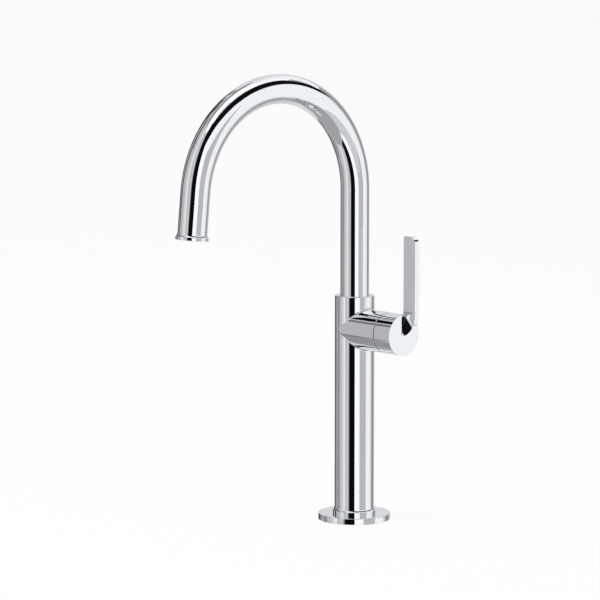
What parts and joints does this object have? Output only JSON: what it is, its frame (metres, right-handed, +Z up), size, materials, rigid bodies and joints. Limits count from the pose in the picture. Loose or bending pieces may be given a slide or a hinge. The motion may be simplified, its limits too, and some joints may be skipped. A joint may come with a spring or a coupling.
{
  "type": "bathroom basin faucet",
  "caption": "Tall single-hole basin faucet: round column on a thin flange, swivelling gooseneck spout with aerator, side hub with an upright flat lever.",
  "frame": {"origin": "centre of the base's flat underside, on the column's axis", "axes": "+Z up along the column, the spout reaches towards -Y, the lever's hub points along +X"},
  "size_m": [0.0882, 0.2121, 0.3623],
  "materials": {
    "chrome": "polished mirror chrome plating on brass",
    "seam_plastic": "plain dark moulded plastic",
    "brass": "machined, unplated",
    "copper_tube": "drawn tube, slightly dull",
    "steel": "stainless steel",
    "black_rubber": "matt rubber",
    "ceramic": "lapped white ceramic",
    "grey_plastic": "moulded plastic",
    "stem_metal": "turned",
    "white_plastic": "moulded plastic"
  },
  "bodies": {
    "column": {"base_flange": "chrome", "base_gasket": "black_rubber", "foot_ring": "chrome", "base_plug": "brass", "hot_supply_tube": "copper_tube", "cold_supply_tube": "copper_tube", "column_body": "chrome", "hub_sleeve": "chrome", "swivel_stop_screw": "steel", "valve_body": "brass", "port_seal": "black_rubber", "cartridge_base": "grey_plastic", "fixed_disc": "ceramic", "cartridge_housing": "grey_plastic", "cartridge_nut": "brass", "seam_ring": "seam_plastic", "thrust_washer": "grey_plastic"},
    "handle": {"lever_cap": "chrome", "lever_screw": "steel", "stem_adapter": "grey_plastic", "cartridge_stem": "stem_metal", "stem_seal": "black_rubber", "moving_disc": "ceramic"},
    "spout": {"spout_tube": "chrome", "spout_foot": "brass", "spout_seal": "black_rubber", "outlet_ring": "chrome", "aerator_housing": "white_plastic", "aerator_honeycomb": "white_plastic", "aerator_diffuser": "white_plastic", "aerator_gasket": "black_rubber"}
  },
  "joints": [
    {"name": "spout_swivel", "type": "hinge", "parent": "column", "child": "spout", "pos_m": [0, 0, 0.17], "axis": [0, 0, 1], "range_deg": [-60, 60]},
    {"name": "lever_turn", "type": "hinge", "parent": "column", "child": "handle", "pos_m": [0.04, 0, 0.1553], "axis": [1, 0, 0], "range_deg": [0, 100]}
  ]
}
